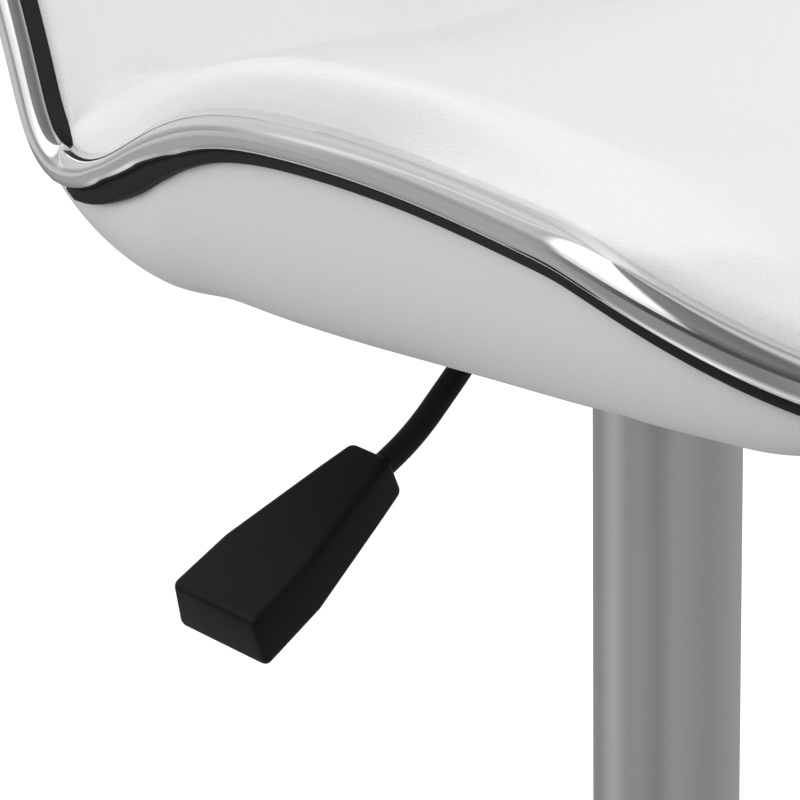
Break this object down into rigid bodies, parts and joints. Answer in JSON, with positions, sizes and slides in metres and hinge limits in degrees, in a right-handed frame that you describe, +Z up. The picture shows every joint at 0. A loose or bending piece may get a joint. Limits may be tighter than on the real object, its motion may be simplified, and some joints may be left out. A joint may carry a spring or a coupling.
{
  "type": "adjustable swivel stool",
  "caption": "Gas-lift bar stool: padded wave seat and low back with a bright edge trim, release lever, footrest and round disc base.",
  "frame": {"origin": "on the column's axis at the floor, seat at its lowest position", "axes": "+Z up, -Y is the sitter's front, -X the sitter's right, where the release lever is"},
  "size_m": [0.4116, 0.4562, 0.834],
  "materials": {
    "chrome": "polished chrome plate",
    "satin_steel": "turned and ground steel",
    "zinc_steel": "zinc-plated fasteners",
    "black_steel": "satin black powder coat",
    "ballast_iron": "black paint on cast iron",
    "seat_leather": "white synthetic leather, fine pebble grain",
    "shell_leather": "white synthetic leather, pulled tight over the shell",
    "plywood": "bare bent plywood",
    "black_piping": "matt black gasket strip",
    "floor_rubber": "matt black rubber",
    "black_plastic": "fine-textured moulded plastic",
    "bush_plastic": "natural acetal"
  },
  "bodies": {
    "base": {"base_cover": "chrome", "base_plate": "ballast_iron", "floor_ring": "floor_rubber", "post_flange": "black_steel", "base_bolts": "zinc_steel", "column_post": "chrome", "post_end_plate": "zinc_steel", "guide_bush": "bush_plastic", "post_cap_ring": "black_plastic", "lower_race": "satin_steel", "bearing_balls": "satin_steel", "footrest_collar": "chrome", "clamp_screws": "zinc_steel", "footrest_bar": "chrome"},
    "rod": {"piston_rod": "satin_steel", "piston": "satin_steel", "rod_clip": "zinc_steel", "upper_race": "satin_steel"},
    "seat": {"gas_cylinder": "black_steel", "cylinder_gland": "zinc_steel", "taper_socket": "black_steel", "cover_sleeve": "chrome", "sleeve_cap": "black_plastic", "mount_plate": "black_steel", "lever_box": "black_steel", "pivot_pin": "zinc_steel", "plate_bolts": "zinc_steel", "plate_washers": "zinc_steel", "tee_nuts": "zinc_steel", "plywood_board": "plywood", "lower_shell": "shell_leather", "seat_cushion": "seat_leather", "edge_trim": "chrome", "upper_gasket": "black_piping", "lower_gasket": "black_piping"},
    "lever": {"lever_rod": "black_steel", "lever_handle": "black_plastic"},
    "valve": {"valve_button": "satin_steel"}
  },
  "joints": [
    {"name": "seat_swivel", "type": "hinge", "parent": "base", "child": "rod", "pos_m": [0, 0, 0.068], "axis": [0, 0, 1], "continuous": true},
    {"name": "seat_lift", "type": "slide", "parent": "rod", "child": "seat", "axis": [0, 0, 1], "range_m": [0, 0.2]},
    {"name": "lever_pull", "type": "hinge", "parent": "seat", "child": "lever", "pos_m": [-0.02989, -0.00262, 0.5395], "axis": [-0.0872, 0.9962, 0], "range_deg": [0, 6.5], "stiffness_Nm_per_rad": 2},
    {"name": "valve_press", "type": "slide", "parent": "seat", "child": "valve", "axis": [0, 0, -1], "range_m": [0, 0.0036], "stiffness_N_per_m": 400}
  ],
  "couplings": [
    {"joint": "valve_press", "follows": "lever_pull", "m_per_rad": 0.03}
  ]
}
